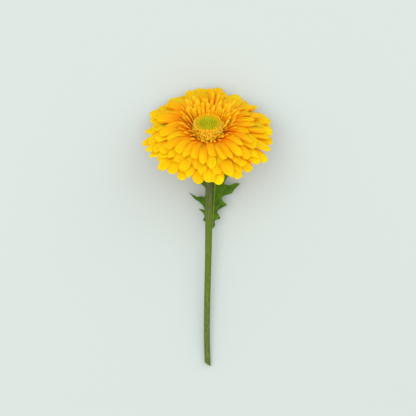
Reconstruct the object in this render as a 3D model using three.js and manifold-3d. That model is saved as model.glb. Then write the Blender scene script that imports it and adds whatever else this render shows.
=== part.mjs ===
// A double gerbera, cut with its stem and one lobed leaf, lying on a flat surface.
//
// Units are millimetres and +Z is up. The stem runs along Y: its cut end rests on the surface at -Y,
// and it rises to a bent neck behind the flower head at +Y. The head leans towards +Y with its face
// turned upwards, and the tips of its lowest outer petals rest on the surface. The origin is the
// middle of the whole flower's footprint, on the surface.
//
// A blade (a petal, a narrow floret or a bract) is a box whose long side follows a curve, drawn in
// the half-plane of radius and height above the receptacle, and turned round the head's axis.

import * as THREE from "three";
import { mergeVertices } from "three/addons/utils/BufferGeometryUtils.js";
import Module from "manifold-3d";

const wasm = await Module();
wasm.setup();

// ---------------------------------------------------------------- driving dimensions

const HEAD_TILT = THREE.MathUtils.degToRad(42); // lean of the head's axis from upright, towards +Y
const HEAD_HEIGHT = 36.5; // from the surface to the middle of the receptacle's top
const RIM_RADIUS = 57.3; // of the longest petals' tips
const FLOOR_SIDE_LOSS = 0.045; // share of that radius missing where the head rests on the surface
const NEAR_SIDE_LOSS = 0.025; // and on the opposite side
const FLOOR_SIDE_RADIUS = RIM_RADIUS * (1 - FLOOR_SIDE_LOSS);
const LOOSE_PETALS = 20; // in each of the two outer rows, whose petals are separate
const PETAL_THICKNESS = 0.5;
const GAP = 0.4; // between one piece and the next

const RECEPTACLE_RADIUS = 10.4;
const RECEPTACLE_TOP = 1.0; // heights in the head are measured from just below its top face
const RECEPTACLE_FOOT = -13.5;
const RAY_BASE_RADIUS = RECEPTACLE_RADIUS + 0.6;
const FLORET_BASE = RECEPTACLE_TOP + GAP;

const STEM_RADIUS_CUT = 2.5;
const STEM_RADIUS_NECK = 3.2;
const STEM_SIDES = 12;
const CUT_SLANT = 0.7; // how far the cut end runs along the stem for each millimetre across it
const CUT_RISE = 0.19; // of the slanted cut's lowest point above the stem's round side

const LEAF_THICKNESS = 0.6;

// ---------------------------------------------------------------- materials

function material(hex, roughness) {
  return new THREE.MeshStandardMaterial({ color: hex, roughness, metalness: 0 });
}

const PETAL_YELLOW = material(0xf7bf0c, 0.55);
const INNER_PETAL_ORANGE = material(0xf0a018, 0.55);
const EYE_GREEN = material(0x9ba516, 0.6);
const BRACT_GREEN = material(0x5d7a2a, 0.6);
const STEM_GREEN = material(0x6a7f2c, 0.55);
const LEAF_GREEN = material(0x4a6a1a, 0.5);

// ---------------------------------------------------------------- helpers

function mix(from, to, share) {
  return from + (to - from) * share;
}

function ease(low, high, value) {
  return THREE.MathUtils.smoothstep(value, low, high);
}

function named(name, geometry, look) {
  const mesh = new THREE.Mesh(geometry, look);
  mesh.name = name;
  return mesh;
}

// A closed geometry as a manifold-3d solid.
function solidOf(geometry) {
  const bare = geometry.clone();
  bare.deleteAttribute("normal");
  bare.deleteAttribute("uv");
  const merged = mergeVertices(bare, 1e-4);
  return new wasm.Manifold(
    new wasm.Mesh({
      numProp: 3,
      vertProperties: merged.attributes.position.array,
      triVerts: new Uint32Array(merged.index.array),
    }),
  );
}

// A manifold-3d solid as a geometry.
function geometryOf(solid) {
  const mesh = solid.getMesh();
  return new THREE.BufferGeometry()
    .setAttribute("position", new THREE.BufferAttribute(mesh.vertProperties, 3))
    .setIndex(new THREE.BufferAttribute(mesh.triVerts, 1));
}

function joined(geometries) {
  const solids = geometries.map(solidOf);
  return geometryOf(solids.reduce((whole, next) => whole.add(next)));
}

// A body turned round the head's axis. The profile is [radius, height] pairs, anticlockwise.
function turned(profile, sides = 24) {
  const points = profile.map(([radius, height]) => new THREE.Vector2(radius, height));
  const geometry = new THREE.LatheGeometry(points, sides);
  geometry.rotateX(Math.PI / 2); // the lathe turns round Y, and the head's axis is Z
  return geometry;
}

// A ring of square section that joins the feet of one row of blades.
function band(innerRadius, outerRadius, low, high, sides) {
  return turned(
    [
      [innerRadius, low],
      [outerRadius, low],
      [outerRadius, high],
      [innerRadius, high],
      [innerRadius, low],
    ],
    sides,
  );
}

// ---------------------------------------------------------------- how the head meets the surface

const LEAN = { along: Math.cos(HEAD_TILT), down: Math.sin(HEAD_TILT) };

// Height above the surface of a point of the head, from its radius, azimuth and height in the head.
// Azimuth 0 is the side that lies on the surface.
function aboveSurface(radius, azimuth, height) {
  return HEAD_HEIGHT - radius * Math.cos(azimuth) * LEAN.down + height * LEAN.along;
}

const OUTER_TIP_HEIGHT = -5.5;
const RESTING_SECTOR = THREE.MathUtils.degToRad(32);
const FREE_SECTOR = THREE.MathUtils.degToRad(60);
const DROOP = -1.2; // how far the petals beside the resting ones hang, at most
const BEND_STARTS = 20; // the radius from which the resting petals are bent
const BEND_POWER = 1.6; // the bend is slight at first, and stronger towards the tips

// How far the tips are pushed up, or hang down, to lie on the surface, at one azimuth.
function tipLift(azimuth) {
  const resting = 1 - ease(RESTING_SECTOR, FREE_SECTOR, Math.abs(azimuth));
  const needed = -aboveSurface(FLOOR_SIDE_RADIUS, azimuth, OUTER_TIP_HEIGHT) / LEAN.along;
  return resting * Math.max(needed, DROOP);
}

function lift(radius, azimuth) {
  const share = Math.max(0, (radius - BEND_STARTS) / (FLOOR_SIDE_RADIUS - BEND_STARTS));
  return tipLift(azimuth) * share ** BEND_POWER;
}

// How near an azimuth is to the side away from the surface: 1 there, and 0 on the side that lies on it.
function nearness(azimuth) {
  return (1 - Math.cos(azimuth)) / 2;
}

// The head is a little shorter where it rests on the surface, and on the side opposite.
function reach(azimuth) {
  const near = nearness(azimuth);
  return 1 - FLOOR_SIDE_LOSS * (1 - near) ** 3.5 - NEAR_SIDE_LOSS * near ** 3;
}

// ---------------------------------------------------------------- blades

const PETAL_FOOT = 0.22; // width at a petal's foot, as a share of its full width
const PETAL_WIDEST_AT = 0.8; // share of its length
const PETAL_TIP_ROUNDING = 0.9; // at 1 the tip would close to a point of a half-ellipse

// Share of the full width at a place along a petal, from its foot (0) to its blunt tip (1).
function petalWidth(along) {
  if (along < PETAL_WIDEST_AT) return mix(PETAL_FOOT, 1, along / PETAL_WIDEST_AT);
  const past = (along - PETAL_WIDEST_AT) / (1 - PETAL_WIDEST_AT);
  return Math.sqrt(1 - (PETAL_TIP_ROUNDING * past) ** 2);
}

const POINTED_FOOT = 0.7; // width at the foot of a pointed blade, as a share of its width halfway along
const POINTED_TIP = 0.25; // and at its tip

// Share of the full width along a narrow, pointed blade, such as an inner floret or a bract.
function pointedWidth(along) {
  return along < 0.5 ? mix(POINTED_FOOT, 1, along * 2) : mix(1, POINTED_TIP, along * 2 - 1);
}

function blade({ curve, width, outline, azimuth, across, along, cup = 0, thickness, extraLift = 0 }) {
  const geometry = new THREE.BoxGeometry(2, 1, 1, across, along, 1);
  const place = geometry.attributes.position;
  for (let i = 0; i < place.count; i++) {
    const share = THREE.MathUtils.clamp(place.getY(i) + 0.5, 0, 1);
    const centre = curve.getPoint(share);
    const heading = curve.getTangent(share);
    const sideways = (place.getX(i) * width * outline(share)) / 2;
    const crossFall = cup * width * outline(share) * place.getX(i) ** 2;
    const rise = place.getZ(i) * thickness + crossFall;
    const radius = centre.x - heading.y * rise;
    const height = centre.y + heading.x * rise;
    const x = radius * Math.sin(azimuth) + sideways * Math.cos(azimuth);
    const y = radius * Math.cos(azimuth) - sideways * Math.sin(azimuth);
    const bent = lift(Math.hypot(x, y), Math.atan2(x, y)) + extraLift * share ** 3;
    place.setXYZ(i, x, y, height + bent);
  }
  return geometry;
}

function bezier(points) {
  return new THREE.CubicBezierCurve(...points.map(([r, z]) => new THREE.Vector2(r, z)));
}

// ---------------------------------------------------------------- ray petals

// Each row rises from the receptacle's side, arches over and droops. Rows are numbered from the outside.
// far and near are the curve's second point on the side that lies on the surface and on the side away
// from it: there the petals lean out from their feet, and here they stand up first.
const RAY_ROWS = [
  {
    name: "outer", count: LOOSE_PETALS, foot: -6.5, far: [17, 5.0], near: [20, 2.4], arch: 4.2,
    tip: [RIM_RADIUS, OUTER_TIP_HEIGHT], width: 10.5,
  },
  {
    name: "second", count: LOOSE_PETALS, foot: -4.6, far: [17, 6.8], near: [19.8, 4.2], arch: 6.4,
    tip: [55.6, -3.2], width: 10.5,
  },
  {
    name: "third", count: 24, foot: -2.7, far: [16.6, 8.8], near: [19.4, 5.8], arch: 8.8,
    tip: [52, -0.5], width: 9.5,
  },
  {
    name: "fourth", count: 27, foot: -0.8, far: [16, 10.8], near: [19, 7.4], arch: 11.4,
    tip: [47.5, 2.9], width: 8.5,
  },
  {
    name: "inner", count: 30, foot: 1.1, far: [15.4, 12.8], near: [18.5, 9.0], arch: 14.0,
    tip: [41, 7.4], width: 7.0,
  },
];
const ARCH_SHARE = 0.6; // where the arch's control point stands, from the foot to the tip
const PETAL_CUP = -0.03; // the edges hang a little below the midrib
const PETAL_STEPS = 5;

function rayCurve(row, azimuth) {
  const [tipRadius, tipHeight] = row.tip;
  const end = tipRadius * reach(azimuth);
  const share = nearness(azimuth) ** 1.5;
  return bezier([
    [RAY_BASE_RADIUS, row.foot],
    [mix(row.far[0], row.near[0], share), mix(row.far[1], row.near[1], share)],
    [mix(RAY_BASE_RADIUS, end, ARCH_SHARE), row.arch],
    [end, tipHeight],
  ]);
}

function rayAzimuth(rowNumber, index) {
  const offset = rowNumber % 2 ? 0 : 0.5; // rows fill each other's gaps
  const turn = ((index + offset) * 2 * Math.PI) / RAY_ROWS[rowNumber].count;
  return turn > Math.PI ? turn - 2 * Math.PI : turn;
}

function rayPetal(row, rowNumber, index, extraLift = 0) {
  const azimuth = rayAzimuth(rowNumber, index);
  return blade({
    curve: rayCurve(row, azimuth),
    width: row.width,
    outline: petalWidth,
    azimuth,
    across: 2,
    along: PETAL_STEPS,
    cup: PETAL_CUP,
    thickness: PETAL_THICKNESS,
    extraLift,
  });
}

// The lowest point of a piece of the head above the surface.
function lowest(geometry) {
  const place = geometry.attributes.position;
  let low = Infinity;
  for (let i = 0; i < place.count; i++) {
    low = Math.min(low, HEAD_HEIGHT - place.getY(i) * LEAN.down + place.getZ(i) * LEAN.along);
  }
  return low;
}

const BENDING_STEPS = 12; // each one takes up most of the gap that the last one left

// An outer petal near the surface is bent until its lowest point just rests on it.
function restingPetal(row, rowNumber, index) {
  let extraLift = 0;
  let petal = rayPetal(row, rowNumber, index);
  if (Math.abs(rayAzimuth(rowNumber, index)) < RESTING_SECTOR) {
    for (let step = 0; step < BENDING_STEPS; step++) {
      extraLift -= lowest(petal) / LEAN.along;
      petal = rayPetal(row, rowNumber, index, extraLift);
    }
  }
  return petal;
}

function looseRow(rowNumber) {
  const row = RAY_ROWS[rowNumber];
  const petals = [];
  for (let index = 0; index < row.count; index++) {
    const name = `ray_petal_${row.name}_${String(index + 1).padStart(2, "0")}`;
    const shape = rowNumber === 0 ? restingPetal : rayPetal;
    petals.push(named(name, shape(row, rowNumber, index), PETAL_YELLOW));
  }
  return petals;
}

const RAY_RING = { inside: RAY_BASE_RADIUS - 0.25, outside: RAY_BASE_RADIUS + 0.8, below: 0.1, above: 0.9 };

// The inner rows are one piece each: their feet stand in a common ring.
function joinedRow(rowNumber) {
  const row = RAY_ROWS[rowNumber];
  const { inside, outside, below, above } = RAY_RING;
  const ring = band(inside, outside, row.foot - below, row.foot + above, row.count);
  const petals = Array.from({ length: row.count }, (_, index) => rayPetal(row, rowNumber, index));
  return named(`ray_row_${row.name}`, joined([ring, ...petals]), PETAL_YELLOW);
}

// ---------------------------------------------------------------- narrow inner florets

const TRANS_ROWS = [
  {
    name: "outer", count: 26, width: 2.0,
    curve: [[9.8, FLORET_BASE], [13.3, 9.6], [18.8, 16.4], [26.5, 16.2]],
  },
  {
    name: "inner", count: 22, width: 1.9,
    curve: [[8.6, FLORET_BASE], [12.3, 9.0], [14.6, 16.2], [19.5, 18]],
  },
];
const TRANS_THICKNESS = 0.5;
const TRANS_RING = { half: 0.3, height: 0.8 };

function transRow(row) {
  const foot = row.curve[0][0];
  const { half, height } = TRANS_RING;
  const ring = band(foot - half, foot + half, FLORET_BASE, FLORET_BASE + height, row.count);
  const curve = bezier(row.curve);
  const florets = Array.from({ length: row.count }, (_, index) =>
    blade({
      curve,
      width: row.width,
      outline: pointedWidth,
      azimuth: (index * 2 * Math.PI) / row.count,
      across: 1,
      along: 3,
      thickness: TRANS_THICKNESS,
    }),
  );
  return named(`trans_florets_${row.name}`, joined([ring, ...florets]), INNER_PETAL_ORANGE);
}

// ---------------------------------------------------------------- the middle of the head

function discFlorets() {
  const profile = [
    [6.3, FLORET_BASE],
    [7.7, FLORET_BASE],
    [11.1, 9.2],
    [11.8, 12.0],
    [10.8, 12.8],
    [9.9, 11.4],
    [9.7, 9.0],
    [6.3, FLORET_BASE],
  ];
  return named("disc_florets", turned(profile), INNER_PETAL_ORANGE);
}

function greenEye() {
  const profile = [
    [0, FLORET_BASE],
    [5.8, FLORET_BASE],
    [9.2, 8.8],
    [9.4, 11.2],
    [6.4, 12.4],
    [3.2, 13.0],
    [0, 13.2],
  ];
  return named("green_eye", turned(profile), EYE_GREEN);
}

function receptacle() {
  const profile = [
    [0, RECEPTACLE_FOOT],
    [3.4, RECEPTACLE_FOOT],
    [6.0, -12.3],
    [8.4, -10.2],
    [10.0, -7.6],
    [RECEPTACLE_RADIUS, -5],
    [RECEPTACLE_RADIUS, 0.6],
    [RECEPTACLE_RADIUS - 0.4, RECEPTACLE_TOP],
    [0, RECEPTACLE_TOP],
  ];
  return named("receptacle", turned(profile), BRACT_GREEN);
}

// ---------------------------------------------------------------- bracts

const BRACT_ROWS = [
  {
    name: "outer", ring: [7.4, 8.4, -12.4, -11.4],
    curve: [[7.9, -12], [10.5, -11.6], [12.6, -9.6], [14.4, -7.2]],
  },
  {
    name: "inner", ring: [9.6, 10.5, -9.9, -8.9],
    curve: [[10, -9.5], [12.2, -8.8], [14.2, -6.6], [16, -3.8]],
  },
];
const BRACTS_PER_ROW = 16;
const BRACT_WIDTH = 2.4;
const BRACT_THICKNESS = 0.5;

function bractRow(row, rowNumber) {
  const ring = band(...row.ring, BRACTS_PER_ROW);
  const curve = bezier(row.curve);
  const bracts = Array.from({ length: BRACTS_PER_ROW }, (_, index) =>
    blade({
      curve,
      width: BRACT_WIDTH,
      outline: pointedWidth,
      azimuth: ((index + rowNumber / 2) * 2 * Math.PI) / BRACTS_PER_ROW,
      across: 1,
      along: 3,
      thickness: BRACT_THICKNESS,
    }),
  );
  return named(`bracts_${row.name}`, joined([ring, ...bracts]), BRACT_GREEN);
}

// ---------------------------------------------------------------- stem

// A point on the head's axis, behind the receptacle's top.
function behindHead(distance) {
  return [0, -distance * LEAN.down, HEAD_HEIGHT - distance * LEAN.along];
}

const NECK_END = GAP - RECEPTACLE_FOOT;

// The stem's centre line from its cut end to the neck, with the head's middle at x 0, y 0.
const STEM_LINE = new THREE.CatmullRomCurve3(
  [
    [-0.3, -202, STEM_RADIUS_CUT - CUT_RISE],
    [-1.0, -176, 5.2],
    [-0.7, -146, 8.1],
    [0.1, -112, 11.2],
    [0.7, -76, 14.2],
    [0.9, -46, 16.2],
    [0.5, -28, 17.6],
    behindHead(NECK_END + 7),
    behindHead(NECK_END + 3),
    behindHead(NECK_END),
  ].map((point) => new THREE.Vector3(...point)),
);
const STEM_STEPS = 24;
const STEM_SWELLS_UNTIL = 0.8; // share of its length

function stemRadius(along) {
  return mix(STEM_RADIUS_CUT, STEM_RADIUS_NECK, ease(0, STEM_SWELLS_UNTIL, along));
}

function stem() {
  const geometry = new THREE.CylinderGeometry(1, 1, 1, STEM_SIDES, STEM_STEPS);
  const place = geometry.attributes.position;
  const up = new THREE.Vector3(0, 0, 1);
  for (let i = 0; i < place.count; i++) {
    const along = THREE.MathUtils.clamp(place.getY(i) + 0.5, 0, 1);
    const centre = STEM_LINE.getPointAt(along);
    const heading = STEM_LINE.getTangentAt(along);
    const right = new THREE.Vector3().crossVectors(heading, up).normalize();
    const above = new THREE.Vector3().crossVectors(right, heading);
    const radius = stemRadius(along);
    const sideways = place.getX(i) * radius;
    const slant = along === 0 ? CUT_SLANT * (radius + sideways) : 0;
    const point = centre
      .addScaledVector(right, sideways)
      .addScaledVector(above, place.getZ(i) * radius)
      .addScaledVector(heading, slant);
    place.setXYZ(i, point.x, point.y, point.z);
  }
  return named("stem", geometry, STEM_GREEN);
}

// ---------------------------------------------------------------- leaf

// The leaf's outline: across the midrib (+ is the right side) and along it from the leaf's base.
const LEAF_RIGHT = [
  [1.8, 2.8], [1.1, 7.6], [6.4, 9.4], [4.4, 13.4], [2.4, 14.6], [4.6, 17.4], [11.5, 21.4], [7.6, 24.6],
  [6.2, 27.2], [8.6, 29.6], [15, 31.6], [17, 35.6], [21.8, 40.6], [17.4, 41], [12.6, 38.6], [7.6, 39.4],
  [9, 43.6], [13.4, 49.4], [8.2, 49.6], [4.6, 52],
];
const LEAF_TIP = [0.6, 62];
const LEAF_LEFT = [
  [-4.4, 54], [-7.8, 52.6], [-5.6, 48.4], [-13.8, 45.6], [-14.8, 40], [-8.4, 35.8], [-7.4, 31], [-9, 26.8],
  [-11.2, 28.2], [-14.8, 27], [-22.2, 30.6], [-17, 25.2], [-13.4, 23.2], [-9.2, 19.6], [-7.8, 16.4],
  [-13.4, 17], [-8.6, 13.2], [-7.4, 10.2], [-9.2, 7], [-6, 6], [-6.6, 2], [-3, 0.6],
];
const LEAF_BASE = new THREE.Vector3(4.1, -82.5, 9.4); // on the surface's side of the stem, to its right
const LEAF_RISE = THREE.MathUtils.degToRad(3.2);
const LEAF_TURN = THREE.MathUtils.degToRad(-3);

function leaf() {
  const shape = new THREE.Shape();
  shape.moveTo(0, 0);
  [...LEAF_RIGHT, LEAF_TIP, ...LEAF_LEFT].forEach(([across, along]) => shape.lineTo(across, along));
  shape.closePath();
  const geometry = new THREE.ExtrudeGeometry(shape, { depth: LEAF_THICKNESS, bevelEnabled: false });
  const mesh = named("leaf", geometry, LEAF_GREEN);
  mesh.position.copy(LEAF_BASE);
  mesh.rotation.set(LEAF_RISE, 0, LEAF_TURN);
  return mesh;
}

// ---------------------------------------------------------------- the whole flower

const head = new THREE.Group();
head.position.z = HEAD_HEIGHT;
head.rotation.x = -HEAD_TILT;
head.add(
  receptacle(),
  greenEye(),
  discFlorets(),
  ...TRANS_ROWS.map(transRow),
  ...BRACT_ROWS.map(bractRow),
  ...looseRow(0),
  ...looseRow(1),
  joinedRow(2),
  joinedRow(3),
  joinedRow(4),
);

const flower = new THREE.Group();
flower.add(head, stem(), leaf());
flower.updateMatrixWorld(true);
const box = new THREE.Box3().setFromObject(flower, true);
const middle = box.getCenter(new THREE.Vector3());
flower.position.set(-middle.x, -middle.y, -box.min.z);

export default flower;
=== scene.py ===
# %% [markdown]
# # A yellow double gerbera, cut and laid down
#
# This notebook finishes a cut flower: a large double head on a bent neck, a stem and one lobed leaf.
# The flower lies on a table. Its head rests on the tips of its lowest petals and its stem on the cut
# end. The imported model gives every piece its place, and each cell below makes one piece properly.

# %% Load the frame
import math
import random

import bmesh
import bpy
import numpy as np
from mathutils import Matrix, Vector


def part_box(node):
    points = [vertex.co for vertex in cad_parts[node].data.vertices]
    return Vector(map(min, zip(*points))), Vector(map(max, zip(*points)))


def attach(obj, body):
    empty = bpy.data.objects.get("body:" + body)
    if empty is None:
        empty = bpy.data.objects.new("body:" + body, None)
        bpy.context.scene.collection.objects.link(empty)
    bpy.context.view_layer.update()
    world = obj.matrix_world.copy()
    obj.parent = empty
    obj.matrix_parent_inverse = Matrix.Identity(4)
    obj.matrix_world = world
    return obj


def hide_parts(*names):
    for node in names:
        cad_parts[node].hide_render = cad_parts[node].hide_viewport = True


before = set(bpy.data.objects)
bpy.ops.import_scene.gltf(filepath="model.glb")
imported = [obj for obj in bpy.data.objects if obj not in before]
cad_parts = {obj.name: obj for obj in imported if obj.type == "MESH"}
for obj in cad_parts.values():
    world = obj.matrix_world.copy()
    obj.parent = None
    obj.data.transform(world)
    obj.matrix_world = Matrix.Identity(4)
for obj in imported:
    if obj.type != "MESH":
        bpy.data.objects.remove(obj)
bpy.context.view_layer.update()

MM = 0.001

# %% [markdown]
# ## Where the head is
#
# Every floret grows on the receptacle, a fleshy cup at the end of the stem, so the head is laid out in
# the receptacle's own directions. Its axis runs through the middle of the cup and the middle of the
# green eye. Two more directions complete it: one across the flower, and one downhill, towards the side
# that lies on the table. A floret is then described by a radius, a height above the cup and an azimuth
# round it, with azimuth 0 downhill, and one function turns that into a place on the table.

# %% The head's directions
RECEPTACLE_TOP = 1.0 * MM


def corners_of(node):
    """The different corners of a node's mesh."""
    corners = np.array([corner.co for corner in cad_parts[node].data.vertices])
    return np.unique(np.round(corners, 6), axis=0)


cup_corners = corners_of("receptacle")
cup_middle = cup_corners.mean(axis=0)
FACING = corners_of("green_eye").mean(axis=0) - cup_middle
FACING /= np.linalg.norm(FACING)
ACROSS = np.array([1.0, 0.0, 0.0])
DOWNHILL = np.cross(FACING, ACROSS)
top_height = ((cup_corners - cup_middle) @ FACING).max() - RECEPTACLE_TOP
HEAD_MIDDLE = cup_middle + FACING * top_height
print("head middle, mm:", np.round(HEAD_MIDDLE / MM, 2), "facing:", np.round(FACING, 3))


def on_table(across, downhill, height):
    """Turns places in the head into places on the table. All three may be arrays."""
    places = np.outer(across, ACROSS) + np.outer(downhill, DOWNHILL) + np.outer(height, FACING)
    return places + HEAD_MIDDLE


# %% [markdown]
# ## Camera, table and light
#
# The flower lies down, so the camera looks straight down on it, from far away with a long lens. The
# table is a pale grey-green sheet. One broad lamp hangs high above the flower's left, a weaker one fills
# in from the right, and a strong, even, pale sky keeps the shadows faint.

# %% Camera
CAMERA_HEIGHT = 2.0
VIEW_SIDE = 354.9 * MM  # the side of the square that the camera sees at the head's height
HEAD_ABOVE_MIDDLE = 64.3 * MM  # from the middle of the view to the middle of the head
SENSOR = 36.0

camera_data = bpy.data.cameras.new("camera")
camera = bpy.data.objects.new("camera", camera_data)
bpy.context.scene.collection.objects.link(camera)
camera.location = (HEAD_MIDDLE[0], HEAD_MIDDLE[1] - HEAD_ABOVE_MIDDLE, CAMERA_HEIGHT)
camera_data.sensor_width = SENSOR
camera_data.lens = SENSOR * (CAMERA_HEIGHT - HEAD_MIDDLE[2]) / VIEW_SIDE
camera_data.clip_end = 50
bpy.context.scene.camera = camera
bpy.context.scene.view_settings.view_transform = "Standard"
print("lens, mm:", round(camera_data.lens, 1))


# %% Table and lamps
def only(piece):
    """Selects one object and nothing else."""
    for other in bpy.context.selected_objects:
        other.select_set(False)
    piece.select_set(True)
    bpy.context.view_layer.objects.active = piece


def colour(red, green, blue):
    """A colour given on the usual 0 to 255 scale, as Blender's linear numbers."""
    scaled = (red / 255, green / 255, blue / 255)
    linear = [c / 12.92 if c <= 0.04045 else ((c + 0.055) / 1.055) ** 2.4 for c in scaled]
    return (*linear, 1.0)


TABLE_SIZE = 12.0
bpy.ops.object.select_all(action="DESELECT")
bpy.ops.mesh.primitive_plane_add(size=TABLE_SIZE, location=(0, 0, 0))
table = bpy.context.active_object
table.name = "table"


def lamp(name, place, size, power):
    """A round lamp that shines at the middle of the flower."""
    data = bpy.data.lights.new(name, "AREA")
    data.shape = "DISK"
    data.size = size
    data.energy = power
    holder = bpy.data.objects.new(name, data)
    bpy.context.scene.collection.objects.link(holder)
    holder.location = place
    holder.rotation_euler = (-Vector(place)).to_track_quat("-Z", "Y").to_euler()


lamp("key_lamp", (-0.4, 0.0, 1.6), size=1.8, power=14)
lamp("fill_lamp", (0.8, 0.6, 1.1), size=1.6, power=4.5)

SKY_TONE = colour(232, 238, 236)
SKY_STRENGTH = 1.02
world = bpy.data.worlds.new("sky")
world.use_nodes = True
sky = world.node_tree.nodes["Background"].inputs
sky["Color"].default_value = SKY_TONE
sky["Strength"].default_value = SKY_STRENGTH
bpy.context.scene.world = world
print("lamps:", [light.name for light in bpy.data.lights])

# %% [markdown]
# ## Writing a material as a sum
#
# A shader is a web of nodes, and most of them are plain arithmetic. It reads better as a formula, so
# one small class wraps a node's output and lets it be added and multiplied like a number. Every other
# node comes from one method, which sets the node's options first and then its inputs.


# %% Shader helpers
class Wire:
    """The output of a shader node, which can be used in sums."""

    def __init__(self, paint, socket):
        self.paint = paint
        self.socket = socket

    def sum_with(self, operation, first, second):
        return self.paint.node("ShaderNodeMath", {"operation": operation}, {0: first, 1: second})

    def __add__(self, other):
        return self.sum_with("ADD", self, other)

    def __radd__(self, other):
        return self.sum_with("ADD", other, self)

    def __sub__(self, other):
        return self.sum_with("SUBTRACT", self, other)

    def __rsub__(self, other):
        return self.sum_with("SUBTRACT", other, self)

    def __mul__(self, other):
        return self.sum_with("MULTIPLY", self, other)

    def between(self, low, high):
        """0 at low, 1 at high, held there outside, and smooth between."""
        settings = {"interpolation_type": "SMOOTHSTEP"}
        return self.paint.node("ShaderNodeMapRange", settings, {0: self, 1: low, 2: high})

    def size(self):
        return self.sum_with("ABSOLUTE", self, 0.0)


class Paint:
    """A material that is being made."""

    def __init__(self, name):
        self.material = bpy.data.materials.new(name)
        self.material.use_nodes = True
        self.tree = self.material.node_tree
        self.tree.nodes.clear()

    def node(self, kind, settings, inputs, output=0):
        made = self.tree.nodes.new(kind)
        stops = settings.pop("stops", None)
        for option, value in settings.items():
            setattr(made, option, value)
        if stops:
            set_stops(made.color_ramp, stops)
        for name, value in inputs.items():
            if isinstance(value, Wire):
                self.tree.links.new(value.socket, made.inputs[name])
            else:
                made.inputs[name].default_value = value
        return Wire(self, made.outputs[output]) if made.outputs else None

    def place(self):
        """The place of a point on the table, in metres."""
        return self.node("ShaderNodeTexCoord", {}, {}, "Object")

    def part(self, place, name):
        """One number of a place: X, Y or Z."""
        return self.node("ShaderNodeSeparateXYZ", {}, {0: place}, name)

    def point(self, x, y, z):
        return self.node("ShaderNodeCombineXYZ", {}, {0: x, 1: y, 2: z})

    def measured(self, name):
        """A number that each corner of the mesh carries, such as how far along its floret it is."""
        return self.node("ShaderNodeAttribute", {"attribute_name": name}, {}, "Fac")

    def noise(self, where, scale, detail=2.0):
        return self.node("ShaderNodeTexNoise", {}, {"Vector": where, "Scale": scale, "Detail": detail})

    def ramp(self, value, stops):
        """A colour for each value, from a list of stops: a place from 0 to 1 and its colour."""
        return self.node("ShaderNodeValToRGB", {"stops": stops}, {0: value})

    def blend(self, share, first, second, mode="MIX"):
        """Index 0 is the mix's share, and 6 and 7 are its two colours; output 2 is the mixed colour."""
        settings = {"data_type": "RGBA", "blend_type": mode}
        return self.node("ShaderNodeMix", settings, {0: share, 6: first, 7: second}, 2)

    def finish(self, base, roughness, bump=None, bump_depth=0.0, **constants):
        """Joins everything to the shader. Bump depth is in metres, and the constants name its sockets."""
        inputs = {"Base Color": base, "Roughness": roughness}
        if bump is not None:
            inputs["Normal"] = self.node(
                "ShaderNodeBump", {}, {"Height": bump, "Distance": bump_depth, "Strength": 1.0}
            )
        for name, value in constants.items():
            inputs[name.replace("_", " ")] = value
        shader = self.node("ShaderNodeBsdfPrincipled", {}, inputs)
        self.node("ShaderNodeOutputMaterial", {}, {"Surface": shader})
        return self.material


def set_stops(ramp, stops):
    while len(ramp.elements) < len(stops):
        ramp.elements.new(0.5)
    for element, (place, tint) in zip(ramp.elements, stops):
        element.position = place
        element.color = tint

# %% [markdown]
# ## The table's paper
#
# The table is there to catch the shadow, so its finish stays out of the way: one flat pale tone, with
# a grain too faint to see as a pattern. A single plain colour would do as well, but it would leave the
# helpers above untried before the petals need them.

# %% Table finish
TABLE_TONE = colour(195, 201, 198)
TABLE_GRAIN = colour(180, 187, 184)
table_paint = Paint("table_paper")
table_speckle = table_paint.noise(table_paint.place(), scale=900.0)
table_colour = table_paint.blend(table_speckle * 0.03, TABLE_TONE, TABLE_GRAIN)
table.data.materials.append(table_paint.finish(table_colour, roughness=0.8))
print("table finish:", table.active_material.name)

# %% [markdown]
# ## What petals are made of
#
# A petal is thin, satin to the touch and lined along its length. Its colour isn't even: it is orange
# where it grows out of the head and a clean yellow at the tip, and each petal is a slightly different
# yellow. The orange is also carried further up each petal as painted shade, where the rows above cover
# it, and the edges are painted orange as the shade between overlapping petals. So the finish reads
# three numbers that every corner of a petal carries: how far along the petal it is, how far across,
# and a tone, which is the petal's own and on the ray petals also carries painted shade towards the side
# that lies on the table. Its underside is paler and duller.


# %% Petal finishes
# Painted shade: petal edges are tinted orange so the shade between overlapping petals reads orange.
EDGE_SHADE_TINT = colour(255, 186, 90)
EDGE_SHADE_STRENGTH = 0.75
TONE_STRENGTH = 0.55
VEIN_STRENGTH = 0.6
VEIN_DEPTH = 0.2 * MM
GLOW_COLOURS = (1.0, 0.75, 0.1)  # inside a petal, red light spreads furthest


def veins(paint, across_scale, along_scale):
    """Fine lines along a petal. Its tone moves them far apart, so they differ on each petal."""
    where = paint.point(
        paint.measured("across") * across_scale,
        paint.measured("along") * along_scale,
        paint.measured("tone") * 37.0,
    )
    return paint.noise(where, scale=1.0, detail=3.0)


def petal_finish(name, stops, vein_tint, tone_tint, glow):
    """stops run from foot to tip, and glow is how far light spreads inside the floret."""
    paint = Paint(name)
    lines = veins(paint, across_scale=8.0, along_scale=1.4)
    cloud = veins(paint, across_scale=1.2, along_scale=2.4)
    along = paint.measured("along") + (cloud - 0.5) * 0.25
    base = paint.ramp(along, stops)
    base = paint.blend(paint.measured("tone") * TONE_STRENGTH, base, tone_tint, "MULTIPLY")
    base = paint.blend(lines.between(0.45, 0.75) * VEIN_STRENGTH, base, vein_tint, "MULTIPLY")
    # Painted shade: orange along the edges, where the petals overlap and shade each other.
    edge = paint.measured("across").size().between(0.55, 1.0)
    base = paint.blend(edge * EDGE_SHADE_STRENGTH, base, EDGE_SHADE_TINT, "MULTIPLY")
    roughness = 0.5 + lines * 0.18
    return paint.finish(
        base, roughness, lines, VEIN_DEPTH, Subsurface_Weight=0.75, Subsurface_Scale=glow,
        Subsurface_Radius=GLOW_COLOURS, Specular_IOR_Level=0.06,
    )


# The petal's own orange foot and yellow tip. The orange reaches further up than it grows, as painted shade
# where the rows above cover each petal.
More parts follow.
